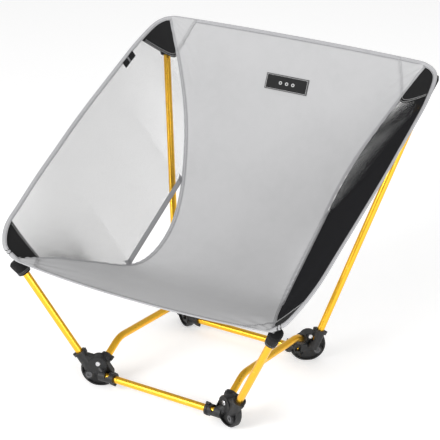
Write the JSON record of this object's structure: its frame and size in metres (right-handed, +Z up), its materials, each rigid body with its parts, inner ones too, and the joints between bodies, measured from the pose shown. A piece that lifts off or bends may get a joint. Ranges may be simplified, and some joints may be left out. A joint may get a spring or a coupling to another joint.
{
  "type": "ultralight backpacking chair",
  "caption": "Low folding camp chair with a tube frame, moulded corner hubs and round feet, and a fabric sling with mesh sides held by angled poles.",
  "frame": {"origin": "on the ground, at the middle of the chair's outline seen from above", "axes": "+Z up, the chair faces -Y, +X to the viewer's right when looking at its front"},
  "size_m": [0.5714, 0.5018, 0.5051],
  "materials": {
    "hub_plastic": "moulded, fine texture",
    "foot_plastic": "moulded, fine texture",
    "pin_grey": "moulded",
    "rivet_steel": "satin",
    "pole_gold": "anodised, satin",
    "ferrule_aluminium": "satin",
    "elastic_cord": "braided",
    "tip_plastic": "moulded",
    "panel_grey": "plain weave",
    "mesh_black": "open mesh",
    "binding_grey": "woven tape",
    "strap_grey": "woven tape",
    "patch_black": "coarse weave",
    "label_black": "woven label"
  },
  "bodies": {
    "root": {"hub_front_left": "hub_plastic", "foot_front_left": "foot_plastic", "hub_front_right": "hub_plastic", "foot_front_right": "foot_plastic", "hub_rear_left": "hub_plastic", "foot_rear_left": "foot_plastic", "hub_rear_right": "hub_plastic", "foot_rear_right": "foot_plastic", "foot_pins": "pin_grey", "hub_rivets": "rivet_steel", "cross_pole_front": "pole_gold", "cross_pole_rear": "pole_gold", "side_rail_left": "pole_gold", "shock_cord_left": "elastic_cord", "mesh_panel_left": "mesh_black", "slot_strap_left": "strap_grey", "binding_left": "binding_grey", "side_rail_right": "pole_gold", "shock_cord_right": "elastic_cord", "mesh_panel_right": "mesh_black", "slot_strap_right": "strap_grey", "binding_right": "binding_grey", "shock_cord_front": "elastic_cord", "shock_cord_rear": "elastic_cord", "seat_panel": "panel_grey", "binding_top": "binding_grey", "binding_front": "binding_grey", "back_label": "label_black", "side_tab": "patch_black"},
    "front_left_pole": {"front_pole_left": "pole_gold", "tip_front_left": "tip_plastic", "pocket_front_left": "patch_black", "patch_front_left": "patch_black", "gusset_front_left": "panel_grey", "binding_corner_front_left": "binding_grey"},
    "rear_left_pole": {"rear_pole_lower_left": "pole_gold", "rear_pole_upper_left": "pole_gold", "rear_ferrule_left": "ferrule_aluminium", "rear_pole_cord_left": "elastic_cord", "tip_rear_left": "tip_plastic", "pocket_rear_left": "patch_black", "patch_rear_left": "patch_black", "gusset_rear_left": "panel_grey", "binding_corner_rear_left": "binding_grey"},
    "front_right_pole": {"front_pole_right": "pole_gold", "tip_front_right": "tip_plastic", "pocket_front_right": "patch_black", "patch_front_right": "patch_black", "gusset_front_right": "panel_grey", "binding_corner_front_right": "binding_grey"},
    "rear_right_pole": {"rear_pole_lower_right": "pole_gold", "rear_pole_upper_right": "pole_gold", "rear_ferrule_right": "ferrule_aluminium", "rear_pole_cord_right": "elastic_cord", "tip_rear_right": "tip_plastic", "pocket_rear_right": "patch_black", "patch_rear_right": "patch_black", "gusset_rear_right": "panel_grey", "binding_corner_rear_right": "binding_grey"}
  },
  "joints": [
    {"name": "front_left_pole_lift", "type": "slide", "parent": "root", "child": "front_left_pole", "axis": [-0.4708, -0.2193, 0.8545], "range_m": [0, 0.03]},
    {"name": "rear_left_pole_lift", "type": "slide", "parent": "root", "child": "rear_left_pole", "axis": [-0.2458, 0.3164, 0.9162], "range_m": [0, 0.03]},
    {"name": "front_right_pole_lift", "type": "slide", "parent": "root", "child": "front_right_pole", "axis": [0.4708, -0.2193, 0.8545], "range_m": [0, 0.03]},
    {"name": "rear_right_pole_lift", "type": "slide", "parent": "root", "child": "rear_right_pole", "axis": [0.2458, 0.3164, 0.9162], "range_m": [0, 0.03]}
  ]
}
